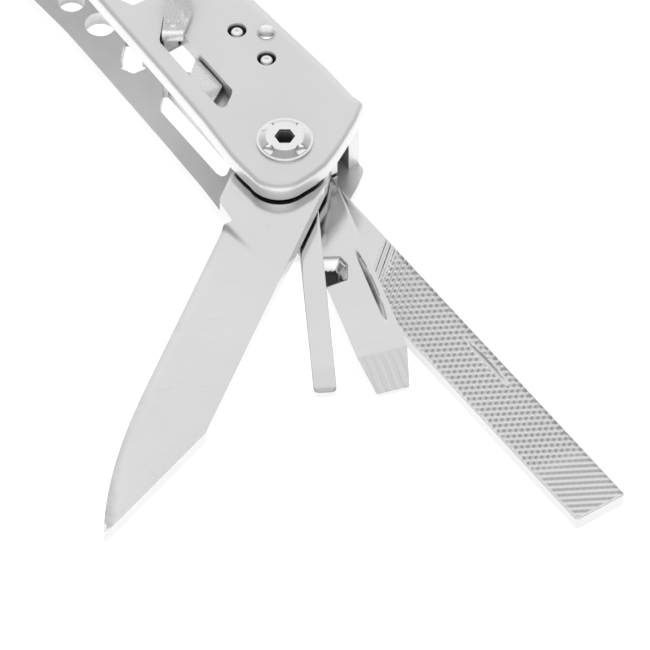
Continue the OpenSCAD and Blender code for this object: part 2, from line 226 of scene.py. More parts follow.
def make_world():
    """A white tent: bright behind the tool and low in front, dimmer overhead and at both sides."""
    world = bpy.data.worlds.new("studio")
    bpy.context.scene.world = world
    world.use_nodes = True
    tree = world.node_tree
    turn = math.radians(AZIMUTH)
    place = tree.nodes.new("ShaderNodeTexCoord")
    ahead = tree.nodes.new("ShaderNodeVectorMath")
    ahead.operation = "DOT_PRODUCT"
    ahead.inputs[1].default_value = (-math.sin(turn), math.cos(turn), 0)
    tree.links.new(place.outputs["Generated"], ahead.inputs[0])
    split = tree.nodes.new("ShaderNodeSeparateXYZ")
    tree.links.new(place.outputs["Generated"], split.inputs["Vector"])
    swing = tree.nodes.new("ShaderNodeMath")
    swing.operation = "ARCTAN2"
    tree.links.new(split.outputs["Z"], swing.inputs[0])
    tree.links.new(ahead.outputs["Value"], swing.inputs[1])
    share = tree.nodes.new("ShaderNodeMath")
    share.operation = "DIVIDE"
    share.inputs[1].default_value = math.pi
    tree.links.new(swing.outputs["Value"], share.inputs[0])
    ramp = tree.nodes.new("ShaderNodeValToRGB")
    stops = [(0.0, 0.75), (0.2, 0.62), (0.33, 0.58), (0.47, 0.3), (0.66, 0.28), (0.78, 0.6), (0.88, 0.95)]
    elements = ramp.color_ramp.elements
    while len(elements) < len(stops):
        elements.new(0.5)
    for element, (position, level) in zip(elements, stops):
        element.position = position
        element.color = (level, level, level, 1)
    tree.links.new(share.outputs["Value"], ramp.inputs["Fac"])
    background = tree.nodes["Background"]
    sideways = tree.nodes.new("ShaderNodeVectorMath")
    sideways.operation = "DOT_PRODUCT"
    sideways.inputs[1].default_value = (math.cos(turn), math.sin(turn), 0)
    tree.links.new(place.outputs["Generated"], sideways.inputs[0])
    spread = tree.nodes.new("ShaderNodeMath")
    spread.operation = "ABSOLUTE"
    tree.links.new(sideways.outputs["Value"], spread.inputs[0])
    dim = tree.nodes.new("ShaderNodeMapRange")
    for socket, value in (("From Min", 0.3), ("From Max", 0.9), ("To Min", 1.0), ("To Max", 0.45)):
        dim.inputs[socket].default_value = value
    tree.links.new(spread.outputs["Value"], dim.inputs["Value"])
    level = tree.nodes.new("ShaderNodeVectorMath")
    level.operation = "SCALE"
    tree.links.new(ramp.outputs["Color"], level.inputs[0])
    tree.links.new(dim.outputs["Result"], level.inputs["Scale"])
    tree.links.new(level.outputs["Vector"], background.inputs["Color"])
    background.inputs["Strength"].default_value = 1.6


def make_floor():
    mesh = bpy.data.meshes.new("floor")
    size = 6
    corners = [(-size, -size, 0), (size, -size, 0), (size, size, 0), (-size, size, 0)]
    mesh.from_pydata(corners, [], [(0, 1, 2, 3)])
    floor = bpy.data.objects.new("floor", mesh)
    bpy.context.scene.collection.objects.link(floor)
    t = Tree("floor_white")
    t.shader.inputs["Base Color"].default_value = (0.4, 0.4, 0.4, 1)
    t.shader.inputs["Roughness"].default_value = 0.9
    t.shader.inputs["Specular IOR Level"].default_value = 0.0
    t.shader.inputs["Emission Color"].default_value = (1, 1, 1, 1)
    t.shader.inputs["Emission Strength"].default_value = 1.0
    mesh.materials.append(t.material)


# ---- mesh making ----


def finish_piece(name, mesh, matrix, materials, body, replaced, bevel=0.2, limit=40, segments=3):
    """Puts a mesh made in local millimetres in the row frame and hooks it to the CAD."""
    mesh.transform(matrix)
    if matrix.determinant() < 0:
        mesh.flip_normals()
    for polygon in mesh.polygons:
        polygon.use_smooth = True
    piece = bpy.data.objects.new(name, mesh)
    bpy.context.scene.collection.objects.link(piece)
    for material in materials:
        mesh.materials.append(material)
    if bevel:
        add_bevel(piece, bevel, limit, segments)
    even_normals(piece)
    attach(piece, body)
    if replaced:
        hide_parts(replaced)
    return piece


def add_bevel(piece, width, limit=40, segments=3):
    bevel = piece.modifiers.new("edge", "BEVEL")
    bevel.width = width * MM
    bevel.segments = segments
    bevel.limit_method = "ANGLE"
    bevel.angle_limit = math.radians(limit)
    bevel.use_clamp_overlap = True
    bevel.miter_outer = "MITER_ARC"


def even_normals(piece):
    """Lets each large flat face rule the shading of its corners."""
    weighted = piece.modifiers.new("normals", "WEIGHTED_NORMAL")
    weighted.mode = "FACE_AREA"
    weighted.weight = 60
    weighted.keep_sharp = True


def dress(name, material, width, limit=35, segments=2):
    """Gives a CAD node its material and soft edges, with modifiers alone."""
    node = nodes[name]
    node.data.materials.clear()
    node.data.materials.append(material)
    for polygon in node.data.polygons:
        polygon.use_smooth = True
    weld = node.modifiers.new("weld", "WELD")
    weld.merge_threshold = 0.000002
    flat = node.modifiers.new("flat", "DECIMATE")
    flat.decimate_type = "DISSOLVE"
    flat.angle_limit = math.radians(0.6)
    add_bevel(node, width, limit, segments)
    even_normals(node)


def mesh_of(work, name):
    """Closes a bmesh into a mesh with its faces turned outwards."""
    bmesh.ops.recalc_face_normals(work, faces=work.faces)
    mesh = bpy.data.meshes.new(name)
    work.to_mesh(mesh)
    work.free()
    return mesh


def inset(loop, widths):
    """Moves each point of a loop to its left by its own width, along the mitre of its two sides."""
    out = []
    count = len(loop)
    for i, (x, y) in enumerate(loop):
        normals = []
        for a, b in ((loop[i - 1], loop[i]), (loop[i], loop[(i + 1) % count])):
            run = math.dist(a, b)
            normals.append(((a[1] - b[1]) / run, (b[0] - a[0]) / run))
        (ax, ay), (bx, by) = normals
        reach = min(1.6, 1 / max(0.1, (1 + ax * bx + ay * by)))
        out.append((x + (ax + bx) * reach * widths[i], y + (ay + by) * reach * widths[i]))
    return out


def area(loop):
    return sum(a[0] * b[1] - b[0] * a[1] for a, b in zip(loop, loop[1:] + loop[:1])) / 2


def plate(loops, low, high, rim_low, rim_high, steps=4):
    """A flat piece between two heights with rounded rims. rim_low(x, y) and rim_high(x, y) are radii."""
    work = bmesh.new()
    loops = [loop if (area(loop) > 0) == (i == 0) else loop[::-1] for i, loop in enumerate(loops)]
    caps = {"low": [], "high": []}
    for loop in loops:
        rows = []
        for end, rim, sign in (("high", rim_high, 1), ("low", rim_low, -1)):
            radii = [rim(x, y) for x, y in loop]
            level = high if sign > 0 else low
            part = []
            for k in range(steps + 1):
                turn = math.pi / 2 * k / steps
                flat = inset(loop, [r * (1 - math.cos(turn)) for r in radii])
                part.append([
                    work.verts.new((x, y, level - sign * r * (1 - math.sin(turn))))
                    for (x, y), r in zip(flat, radii)
                ])
            caps[end].append(part[-1])
            rows += part[::-1] if sign > 0 else part
        for upper, lower in zip(rows, rows[1:]):
            for i in range(len(upper)):
                j = (i + 1) % len(upper)
                work.faces.new((upper[i], lower[i], lower[j], upper[j]))
    for rings in caps.values():
        flat, edges = [], []
        for ring in rings:
            first = len(flat)
            flat += ring
            edges += [(first + i, first + (i + 1) % len(ring)) for i in range(len(ring))]
        verts, _, faces, origin, *_ = delaunay_2d_cdt([v.co.to_2d() for v in flat], edges, [], 1, 1e-6)
        outlines = [[tuple(v.co.to_2d()) for v in ring] for ring in rings]
        for face in faces:
            centre = (sum(verts[i][0] for i in face) / 3, sum(verts[i][1] for i in face) / 3)
            if inside(centre, outlines[0]) and not any(inside(centre, hole) for hole in outlines[1:]):
                corners = [flat[origin[i][0]] for i in face]
                if len(set(corners)) == 3:
                    work.faces.new(corners)
    bmesh.ops.remove_doubles(work, verts=work.verts, dist=1e-5)
    return mesh_of(work, "plate")


def prism(outline, low, high):
    """A plain upright prism, used to cut with."""
    work = bmesh.new()
    rows = [[work.verts.new((x, y, z)) for x, y in outline] for z in (low, high)]
    for i in range(len(outline)):
        j = (i + 1) % len(outline)
        work.faces.new((rows[0][i], rows[0][j], rows[1][j], rows[1][i]))
    work.faces.new(rows[0])
    work.faces.new(rows[1])
    return mesh_of(work, "prism")


def lathe(profile, at, steps=40):
    """A turned shape: (radius, height) points from the axis at one end to the axis at the other."""
    work = bmesh.new()
    rings = []
    for radius, height in profile:
        if radius == 0:
            rings.append([work.verts.new((at[0], at[1], height))])
        else:
            rings.append([
                work.verts.new((at[0] + radius * math.cos(2 * math.pi * i / steps),
                                at[1] + radius * math.sin(2 * math.pi * i / steps), height))
                for i in range(steps)
            ])
    for a, b in zip(rings, rings[1:]):
        for i in range(steps):
            j = (i + 1) % steps
            if len(a) == 1:
                work.faces.new((a[0], b[i], b[j]))
            elif len(b) == 1:
                work.faces.new((a[i], a[j], b[0]))
            else:
                work.faces.new((a[i], a[j], b[j], b[i]))
    return mesh_of(work, "lathe")


def together(meshes):
    """Joins meshes into one without merging them."""
    work = bmesh.new()
    for mesh in meshes:
        work.from_mesh(mesh)
    out = bpy.data.meshes.new("together")
    work.to_mesh(out)
    work.free()
    return out


def carve(base, others, operation="DIFFERENCE"):
    """Boolean of one mesh with each of the others in turn, as a new mesh."""
    scene = bpy.context.scene
    body = bpy.data.objects.new("carve_base", base)
    scene.collection.objects.link(body)
    tools = []
    for other in others:
        tool = bpy.data.objects.new("carve_tool", other)
        scene.collection.objects.link(tool)
        tools.append(tool)
        cut = body.modifiers.new("cut", "BOOLEAN")
        cut.operation = operation
        cut.solver = "EXACT"
        cut.object = tool
    graph = bpy.context.evaluated_depsgraph_get()
    done = bpy.data.meshes.new_from_object(body.evaluated_get(graph))
    for thing in [body] + tools:
        bpy.data.objects.remove(thing)
    return done


def arc(at, r, start, end, steps):
    """Points of an arc, angles in degrees."""
    out = []
    for i in range(steps + 1):
        turn = math.radians(start + (end - start) * i / steps)
        out.append((at[0] + r * math.cos(turn), at[1] + r * math.sin(turn)))
    return out


def walk(outline, step):
    """The outline with its long edges cut into pieces no longer than step."""
    out = []
    for a, b in zip(outline, outline[1:] + outline[:1]):
        count = max(1, math.ceil(math.dist(a, b) / step))
        out += [(a[0] + (b[0] - a[0]) * i / count, a[1] + (b[1] - a[1]) * i / count) for i in range(count)]
    return out


def inside(point, outline):
    x, y = point
    hit = False
    for (ax, ay), (bx, by) in zip(outline, outline[1:] + outline[:1]):
        if (ay > y) != (by > y) and x < ax + (bx - ax) * (y - ay) / (by - ay):
            hit = not hit
    return hit


def slab(outline, holes, step, top, bottom, fine=None):
    """A closed plate over a plan outline, whose faces follow the heights top(x, y) and bottom(x, y).

    fine is (low corner, high corner, step) of a stretch that gets a closer grid.
    """
    loops = [walk(loop, step) for loop in [outline] + holes]
    points, edges = [], []
    for loop in loops:
        first = len(points)
        points += loop
        edges += [(first + i, first + (i + 1) % len(loop)) for i in range(len(loop))]
    rim = list(points)
    cell = {}
    for p in rim:
        cell.setdefault((round(p[0] / step), round(p[1] / step)), []).append(p)

    def clear(p, gap):
        kx, ky = round(p[0] / step), round(p[1] / step)
        near = (q for i in (-1, 0, 1) for j in (-1, 0, 1) for q in cell.get((kx + i, ky + j), ()))
        return all(math.dist(p, q) > gap for q in near)

    low_x, high_x = min(p[0] for p in rim), max(p[0] for p in rim)
    low_y, high_y = min(p[1] for p in rim), max(p[1] for p in rim)

    def grid(x0, y0, x1, y1, pitch, skip=None):
        for i in range(int((x1 - x0) / pitch) + 1):
            for j in range(int((y1 - y0) / pitch) + 1):
                p = (x0 + (i + 0.5) * pitch, y0 + (j + 0.5) * pitch)
                if skip and skip[0][0] < p[0] < skip[1][0] and skip[0][1] < p[1] < skip[1][1]:
                    continue
                if clear(p, pitch * 0.45) and inside(p, outline) and not any(inside(p, h) for h in holes):
                    points.append(p)

    if fine:
        grid(*fine[0], *fine[1], fine[2])
    grid(low_x, low_y, high_x, high_y, step, fine)
    verts, _, faces, *_ = delaunay_2d_cdt([Vector(p) for p in points], edges, [], 1, 1e-5)
    verts = [(v[0], v[1]) for v in verts]
    kept = []
    for face in faces:
        centre = (sum(verts[i][0] for i in face) / 3, sum(verts[i][1] for i in face) / 3)
        if inside(centre, outline) and not any(inside(centre, h) for h in holes):
            kept.append(tuple(face))
    work = bmesh.new()
    upper = [work.verts.new((x, y, top(x, y))) for x, y in verts]
    lower = [work.verts.new((x, y, bottom(x, y))) for x, y in verts]
    sides = {}
    for a, b, c in kept:
        ax, ay = verts[a]
        bx, by = verts[b]
        cx, cy = verts[c]
        if (bx - ax) * (cy - ay) - (by - ay) * (cx - ax) < 0:
            b, c = c, b
        work.faces.new((upper[a], upper[b], upper[c]))
        work.faces.new((lower[a], lower[c], lower[b]))
        for edge in ((a, b), (b, c), (c, a)):
            sides[edge] = True
    for a, b in list(sides):
        if (b, a) not in sides:
            work.faces.new((upper[b], upper[a], lower[a], lower[b]))
    loose = [v for v in work.verts if not v.link_faces]
    bmesh.ops.delete(work, geom=loose, context="VERTS")
    return mesh_of(work, "slab")


# ---- channel handles ----

END_AT = (-3, 3)
END_R = 4.6
WEB_END_V, WEB_MID_V, WEB_HEAD_V = -13.3, -11.9, -11.3
HEAD_R = 8.3
WEB_STOP = 84.0
SLOT_LOW, SLOT_HIGH = 0.35, 3.75
SLOT_START, SLOT_STOP = 9.9, 29.0
RIVET_AT = (17.9, -9.4)
PIN_ATS = ((20.6, -6.3), (14.0, -6.7))
PIN_R = 0.9
RECESS_R = 1.35
RECESS = 1.1
HEX_R = 1.25 / math.cos(math.pi / 6)
KEY_TURN = -5


def wall_outline():
    outline = [(2, 7.75), (-1, 7.7)] + arc(END_AT, END_R, 84, 180, 28)
    outline += [(-7.4, 0.2), (-6.9, -2.2), (-5.6, -5.1), (-4.1, -7.8), (-2.4, -10.6)]
    outline += arc((0.5, -11.6), 1.7, 214, 270, 8)
    outline += [(8, WEB_END_V), (19, -12.6), (30, WEB_MID_V), (60, WEB_HEAD_V)]
    outline += arc((HANDLE_LENGTH, HINGE_V), HEAD_R, -90, 88, 40)
    outline += [(76, 5.9), (62, 6.7), (54, 6.5), (45, 6.1), (38, 6.2), (20, 6.7), (10, 7.1)]
    return walk(outline, 1.5)


def cavity_outline():
    out = 40
    return [
        (-out, out), (-out, -out), (1, -out), (1, WEB_END_V + WEB_T), (8, WEB_END_V + WEB_T),
        (30, WEB_MID_V + WEB_T), (60, WEB_HEAD_V + WEB_T), (WEB_STOP, WEB_HEAD_V + WEB_T),
        (WEB_STOP, -out), (HANDLE_LENGTH + out, -out), (HANDLE_LENGTH + out, out),
    ]


def wall_rim(x, y):
    """Radius of the walls' outer rim: a rolled edge, and the wide bend where the wall turns into the web."""
    bend = smooth(-1.2, 2.5, x) * (1 - smooth(82, 87, x)) * smooth(9, 10.6, -y)
    return 0.85 + 1.25 * bend


def slot_outline():
    return [
        (SLOT_START + 2, SLOT_LOW + 0.2), (SLOT_STOP - 1, SLOT_LOW - 0.1),
        (SLOT_STOP - 0.6, SLOT_LOW + 0.4), (SLOT_STOP - 3.6, SLOT_HIGH - 0.3),
        (SLOT_STOP - 4.2, SLOT_HIGH), (SLOT_START + 0.9, SLOT_HIGH + 0.2),
        (SLOT_START + 0.1, SLOT_HIGH - 0.1), (SLOT_START, SLOT_HIGH - 0.8),
        (SLOT_START + 1.3, SLOT_LOW + 0.8),
    ]


def hexagon(at, r, turn):
    return arc(at, r, turn, turn + 300, 5)


def make_handle(side):
    block = plate([wall_outline()], Z_LOW, Z_TOP, wall_rim, wall_rim, 6)
    inner = prism(cavity_outline(), Z_LOW + SHEET, Z_TOP - SHEET)
    below, above = -1, Z_TOP + 1
    through = [
        arc((0, 0), BORE_R, 0, 352.5, 47), arc((HANDLE_LENGTH, HINGE_V), BORE_R, 0, 352.5, 47),
        arc((48.7, 2.3), 1.9, 0, 350, 35), arc((42.9, 1.4), 2.2, 0, 350, 35), slot_outline(),
        hexagon((34.4, 1.7), 1.8 / math.cos(math.pi / 6), 25), arc(RIVET_AT, 1, 0, 345, 23),
    ] + [arc(at, PIN_R, 0, 345, 23) for at in PIN_ATS]
    cuts = [prism(outline, below, above) for outline in through]
    window = arc((30.5, -5.8), 3, 90, 270, 16) + [(45.5, -8.8), (48, -7), (48, -4.5), (46.5, -2.8)]
    cuts.append(prism(window, below, Z_LOW + SHEET + 1))
    late = [prism(arc(at, RECESS_R, 0, 345, 35), Z_TOP - RECESS, above) for at in PIN_ATS]
    late.append(prism([(34.3, 0.2), (37.4, -1.7), (39.2, -0.4), (36.4, 2.4)], below, above))
    mesh = carve(block, [inner, together(cuts), together(late)])
    finish_piece(
        "channel_" + side, mesh, PLACE[side], [handle_steel[side]], "handle_" + side, "handle_" + side,
        0.1, 50, 2,
    )


# ---- lock slider ----

LOCK_AT = SHEET + 0.05
LOCK_T = 0.4
PAD_AT = 0.75
TAB_AT = (24.3, 2.05)
TAB_TURN = -35
TAB_LEN = 9.9


def tab_top(p, w):
    """Height of the thumb tab's face over the wall: a ramp with a side facet, a stamped U and a dimple."""
    rise = 1.45 + 0.47 * min(p, 8.3) - 0.9 * max(0.0, p - 9.2)
    facet = max(0.0, -w - 1.55 + 1.25 * smooth(0.0, 4.2, p)) * 0.85
    dimple = 0.32 * math.exp(-(((p - 2.6) / 0.85) ** 2 + ((w + 1.75) / 0.42) ** 2) * 1.6)
    ring = math.hypot(p - 1.35, (w + 0.1) * 0.9)
    stamped = 0.22 * math.exp(-(((ring - 0.62) / 0.16) ** 2)) * (1 - smooth(1.3, 1.7, p))
    return rise - facet - dimple - stamped - 0.25 * (1 - smooth(0.0, 0.35, p))


def tab_bottom(p, w):
    return -0.35 + 0.55 * smooth(0.3, 1.2, p) + 0.53 * max(0.0, min(p, 9.6) - 2.6)


def make_lock(side):
    low = Z_TOP - LOCK_AT - LOCK_T
    high = Z_TOP - LOCK_AT
    mid = (SLOT_LOW + SLOT_HIGH) / 2
    base = arc((SLOT_START + 1.5, mid - 2.2), 1, 180, 270, 6) + arc((26.8, mid - 2.2), 1, 270, 360, 6)
    base += arc((26.8, mid + 2.2), 1, 0, 90, 6) + arc((SLOT_START + 1.5, mid + 2.2), 1, 90, 180, 6)
    window = [
        (21.4, SLOT_LOW - 0.5), (24.6, SLOT_LOW - 0.5), (24.6, SLOT_HIGH + 0.5), (17.6, SLOT_HIGH + 0.5),
    ]
    sheet = plate([base, window], low, high, lambda x, y: 0.12, lambda x, y: 0.12, 2)
    pad = [
        (SLOT_START + 4.2, SLOT_LOW + 0.35), (20.5, SLOT_LOW + 0.35),
        (18, SLOT_HIGH - 0.25), (SLOT_START + 2.6, SLOT_HIGH - 0.25),
    ]
    # The pad leans down towards its lower side, as the stamp left it
    raised = slab(
        pad, [], 0.4,
        lambda x, y: Z_TOP - PAD_AT - 0.1 * (SLOT_HIGH - y) - 0.5 * smooth(1.6, 0.0, x - SLOT_START - 3),
        lambda x, y: high - 0.3,
    )
    foot = [
        (24.7, SLOT_LOW + 0.4), (SLOT_STOP - 1.4, SLOT_LOW + 0.4),
        (SLOT_STOP - 4.1, SLOT_HIGH - 0.55), (24.7, SLOT_HIGH - 0.55),
    ]
    post = plate([foot], high - 0.3, Z_TOP + 0.7, lambda x, y: 0.1, lambda x, y: 0.1, 2)
    edge = [(0, -1.5), (4, -2.7), (TAB_LEN - 1.5, -2.9), (TAB_LEN, -1.6), (TAB_LEN, 0.2), (TAB_LEN - 1, 0.9)]
    edge += [(4, 0.95), (0, 1.45)]
    tab = slab(edge, [], 0.3, tab_top, tab_bottom, fine=((0.1, -2.6), (4.2, 1.4), 0.11))
    tab.transform(
        Matrix.Translation((TAB_AT[0], TAB_AT[1], Z_TOP)) @ Matrix.Rotation(math.radians(TAB_TURN), 4, "Z")
    )
    mesh = together([sheet, raised, post, tab])
    finish_piece(
        "lock_" + side, mesh, PLACE[side], [lock_steel], "lock_" + side, "lock_slider_" + side,
        0.09, 50, 3,
    )


# ---- small turned parts ----


def make_small_parts(side):
    body = "handle_" + side
    dome = [(1.35 * math.cos(math.radians(5 * i)), 0.7 * math.sin(math.radians(5 * i))) for i in range(18)]
    profile = [(0, Z_LOW - 0.7)] + [(r, Z_LOW - h) for r, h in dome[::-1]] + [(1.0, Z_LOW)]
    profile += [(1.0, Z_TOP)] + [(r, Z_TOP + h) for r, h in dome] + [(0, Z_TOP + 0.7)]
    finish_piece(
        "rivet_" + side, lathe(profile, RIVET_AT), PLACE[side], [bright_steel], body,
        "spring_rivet_" + side, 0,
    )
    shafts = []
    for at in PIN_ATS:
        top = Z_TOP - 0.3
        shafts.append(lathe([
            (0, Z_LOW + 0.1), (PIN_R - 0.25, Z_LOW + 0.1), (PIN_R, Z_LOW + 0.35), (PIN_R, top - 0.25),
            (PIN_R - 0.04, top - 0.12), (PIN_R - 0.14, top - 0.03), (PIN_R - 0.26, top),
            (0.3, top), (0.2, top - 0.06), (0, top - 0.08),
        ], at))
    finish_piece(
        "pins_" + side, together(shafts), PLACE[side], [bright_steel], body,
        "spring_pins_" + side, 0,
    )
    # Painted shade: near-black rings in the pins' recesses and dark liners in the key sockets, in place of
    # the shadow down those hollows
    rings = [
        lathe([
            (PIN_R + 0.02, Z_TOP - RECESS + 0.02), (RECESS_R - 0.03, Z_TOP - RECESS + 0.02),
            (RECESS_R - 0.03, Z_TOP - 0.5), (RECESS_R - 0.1, Z_TOP - 0.54),
            (RECESS_R - 0.2, Z_TOP - RECESS + 0.16), (PIN_R + 0.02, Z_TOP - RECESS + 0.12),
            (PIN_R + 0.02, Z_TOP - RECESS + 0.02),
        ], at) for at in PIN_ATS
    ]
    finish_piece("pin_seats_" + side, together(rings), PLACE[side], [hollow_shade_fill], body, None, 0)
    sockets = []
    for at in ((0, 0), (HANDLE_LENGTH, HINGE_V)):
        outer = hexagon(at, HEX_R - 0.01, KEY_TURN)
        inner = hexagon(at, HEX_R - 0.1, KEY_TURN)
        high, low = Z_TOP + CAP_H - 0.35, Z_TOP - 1.58
        sockets.append(carve(prism(outer, low, high), [prism(inner, low + 0.1, high + 1)]))
    finish_piece("key_sockets_" + side, together(sockets), PLACE[side], [painted_socket_shade], body, None,
                 0.03, 50)


# ---- tools ----

LAYER = {
    "knife": (2.9, 2.2), "saw": (2.9, 2.2), "small_driver": (6.0, 2.0), "bottle_opener": (8.9, 2.2),
    "can_opener": (8.9, 2.2), "file": (12.0, 2.0), "serrated_blade": (12.0, 2.0),
}
BORE = [arc((0, 0), BORE_R, 0, 352.5, 47)]


def tool_faces(tool, loss_top, loss_bottom):
    """Height functions of a tool's two faces from how far each falls short of the full plate."""
    depth, thick = LAYER[tool]
    high = Z_TOP - depth
    low = high - thick
    return (lambda x, y: high - loss_top(x, y)), (lambda x, y: low + loss_bottom(x, y))


def nick(p, y, centre, at, long, wide, deep):
    """A nail nick: a long shallow crescent, steeper on its upper side."""
    along = (p - centre) / (long / 2)
    if abs(along) >= 1:
        return 0.0
    reach = wide / 2 * math.sqrt(1 - along * along)
    across = (y - at + 0.25 * wide * along * along) / reach
    if abs(across) >= 1:
        return 0.0
    turn = -0.3
    side = (1 - across) / 1.3 if across > turn else (1 + across) / 0.7
    return deep * (1 - along * along) * side


def make_tool(tool, outline, loss_top, loss_bottom, step=0.9, fine=None, bevel=0.14, painted_shade_below=None):
    top, bottom = tool_faces(tool, loss_top, loss_bottom)
    mesh = slab(outline, BORE, step, top, bottom, fine)
    # Painted shade: upward faces below that height take the near-black second material
    if painted_shade_below:
        for polygon in mesh.polygons:
            if polygon.center.z < painted_shade_below and polygon.normal.z > 0.6:
                polygon.material_index = 1
    finish_piece(
        tool + "_body", mesh, tool_place(tool), [tool_steel[tool], hollow_shade_fill], tool, tool,
        bevel, 50,
    )


# ---- knife ----

BLADE_LEN = 73.6
EDGE_Y = -3.65
BACK_Y = 7.2
CURVE_FROM = 44.0
TIP_Y = 0.4
TIP_FROM = 73.0


def knife_edge(p):
    """The cutting edge's Y at p, straight and then curving up to the tip."""
    share = max(0.0, (p - CURVE_FROM) / (BLADE_LEN - CURVE_FROM))
    return EDGE_Y + (TIP_Y - EDGE_Y) * share ** 2.6


def knife_back(p):
    clip = 51.5
    return BACK_Y if p < clip else BACK_Y + (TIP_Y - BACK_Y) * (p - clip) / (BLADE_LEN - clip)


def blade_loss(p, above, deep, start):
    """What a flat grind and a narrow edge bevel take from one face of a 2.2 mm blade."""
    half, edge_half, bevel_half = 1.1, 0.1, 0.45
    hollow = (half - bevel_half) * (1 - smooth(-0.35 * deep, deep, above))
    bevel = (bevel_half - edge_half) * max(0.0, 1 - above / 0.7)
    plunge = smooth(0.0, 1.2, p - start - 0.6 * above)
    return plunge * hollow + plunge * bevel


def knife_loss(p, y):
    deep = min(8.8, 0.86 * (knife_back(p) - knife_edge(p)) + 0.4)
    return blade_loss(p, y - knife_edge(p), deep, 14.2)


def make_knife():
    outline = arc((0, 0), TANG_R, 88, 272, 24)
    outline += [(3.6, -5.75), (10.6, -5.7), (11.4, -5.35), (13.6, -2.9), (13.9, -2.75), (14.3, -3.0)]
    outline += [(p, knife_edge(p)) for p in (14.7, 20, 26, 32, 38, CURVE_FROM)]
    belly = [CURVE_FROM + (TIP_FROM - CURVE_FROM) * i / 24 for i in range(1, 25)]
    outline += [(p, knife_edge(p)) for p in belly] + [(BLADE_LEN - 0.1, TIP_Y - 0.1)]
    outline += [(BLADE_LEN - 0.15, TIP_Y + 0.1), (51.5, BACK_Y), (3.4, BACK_Y), (2.6, 6.7)]
    make_tool("knife", outline, knife_loss, knife_loss, 0.9, ((12.5, -4.0), (21.0, 3.0), 0.3), 0.12)


# ---- narrow driver ----


def small_loss(p, y):
    return 0.09 * max(0.0, p - 36.5) + 0.1 * smooth(40.0, 40.7, p)


def make_small_driver():
    outline = arc((0, 0), TANG_R, 90, 270, 24)
    outline += [(4, -4.6), (7.2, -0.4), (8.4, 0.8)] + arc((39.9, 1.7), 0.9, -90, 0, 5)
    outline += arc((39.9, 3.15), 0.9, 0, 90, 5) + [(6, 4.05), (3.2, 5.6)]
    make_tool("small_driver", outline, small_loss, small_loss, 0.8, ((36.5, 0.9), (40.7, 4.0), 0.35))


# ---- bottle opener ----

OPENER_TIP = 40.0


def notch_depth(p, y):
    """How far inside the cap notch a point is, from its nearest side."""
    sides = (
        p - 13.9 - 0.28 * max(0.0, y),
        20.3 - p - 0.12 * max(0.0, y),
        (4.15 - y - 0.33 * abs(p - 16.8)) * 0.95,
    )
    return min(sides)


def opener_top(p, y):
    notch = 1.75 * smooth(0.3, 2.1, notch_depth(p, y))
    flutes = 0.015 * math.sin(y * 5.1) + 0.012 * math.sin(y * 11.7 + 1 + 0.2 * p)
    flutes += 0.006 * math.sin(y * 23 + p)
    ground = 0.13 * max(0.0, p - 33.4) + smooth(33.4, 35, p) * flutes
    return notch + ground + nick(p, y, 21.5, 5.7, 14.8, 0.85, 1.0)


def opener_bottom(p, y):
    return 0.1 * max(0.0, p - 33.4)


def make_bottle_opener():
    outline = arc((0, 0), TANG_R, 90, 270, 24)
    outline += [(3.2, -5.5), (8.0, -0.9), (8.6, -0.4), (14.2, -0.4), (20, -0.4), (33.4, -0.4)]
    outline += [(39.8, 0.35), (OPENER_TIP, 0.6), (OPENER_TIP, 4.9), (39.8, 5.15), (33.4, 6.9), (3.4, 6.9)]
    # Painted shade: the floor of the cap notch's blind pocket gets the near-black material, for the shadow
    # inside the notch
    dark = Z_TOP - LAYER["bottle_opener"][0] - 1.55
    make_tool(
        "bottle_opener", outline, opener_top, opener_bottom, 0.6,
        ((12.5, -0.3), (39.9, 6.8), 0.17), 0.12, dark,
    )


# ---- file ----

FILE_LEN = 71.2
FILE_LOW, FILE_HIGH = -0.9, 7.3


def teeth(p, q):
    """Height of the double cut, 0 to 1 for each of its two sets of slanting rows."""
    lean_first, lean_second = math.radians(50), math.radians(59)
    first = 0.5 + 0.5 * math.sin(2 * math.pi * (p * math.sin(lean_first) - q * math.cos(lean_first)) / 0.78)
    row = (p * math.sin(lean_second) + q * math.cos(lean_second)) / 1.02
    second = row - math.floor(row)
    second = (1 - second) / 0.75 if second > 0.25 else 4 * second
    return first, second


def file_loss(p, y):
    q = -y
    first, second = teeth(p, q)
    start_first = smooth(0.0, 1.2, p - 13.5 - (q + 7) * 0.8)
    start_second = smooth(0.0, 1.5, p - 16.5 - (q + 7) * 0.6)
    rim = smooth(0.05, 0.45, min(y - FILE_LOW, FILE_HIGH - y, FILE_LEN - p))
    fade = 1 - 0.85 * smooth(59.5, 62.5, p)
    cut = 0.11 * start_first * fade * (1 - first) + 0.2 * start_second * (1 - second)
    smooth_spot = nick(p, y, 40.6, 5.75, 11.5, 1.1, 0.4)
    return rim * cut * (1 - smooth(0.0, 0.06, smooth_spot)) + smooth_spot


def make_file():
    outline = arc((0, 0), TANG_R, 85, 240, 20) + [(3.2, -5.5), (6.5, FILE_LOW), (FILE_LEN - 0.3, FILE_LOW)]
    outline += [(FILE_LEN, FILE_LOW + 0.3), (FILE_LEN, FILE_HIGH - 0.3)]
    outline += [(FILE_LEN - 0.3, FILE_HIGH), (3.2, FILE_HIGH)]
    make_tool("file", outline, file_loss, file_loss, 0.6, ((11.0, -0.85), (FILE_LEN - 0.1, 7.25), 0.15), 0.1)


# ---- tools of the right handle ----

TOOTH = 2.4


def saw_loss(p, y):
    """Every other tooth is ground to the other side, and a hollow runs along the blade."""
    hollow = 0.25 * smooth(-2.0, -1.0, y) * (1 - smooth(3.6, 4.8, y))
    hollow *= smooth(14, 17, p) * (1 - smooth(62, 68, p))
    share = (p - 18) / TOOTH
    set_over = 0.55 * smooth(1.8, 3.6, -y) * (math.floor(share) % 2) if 18 < p < 71 else 0.0
    return hollow + set_over


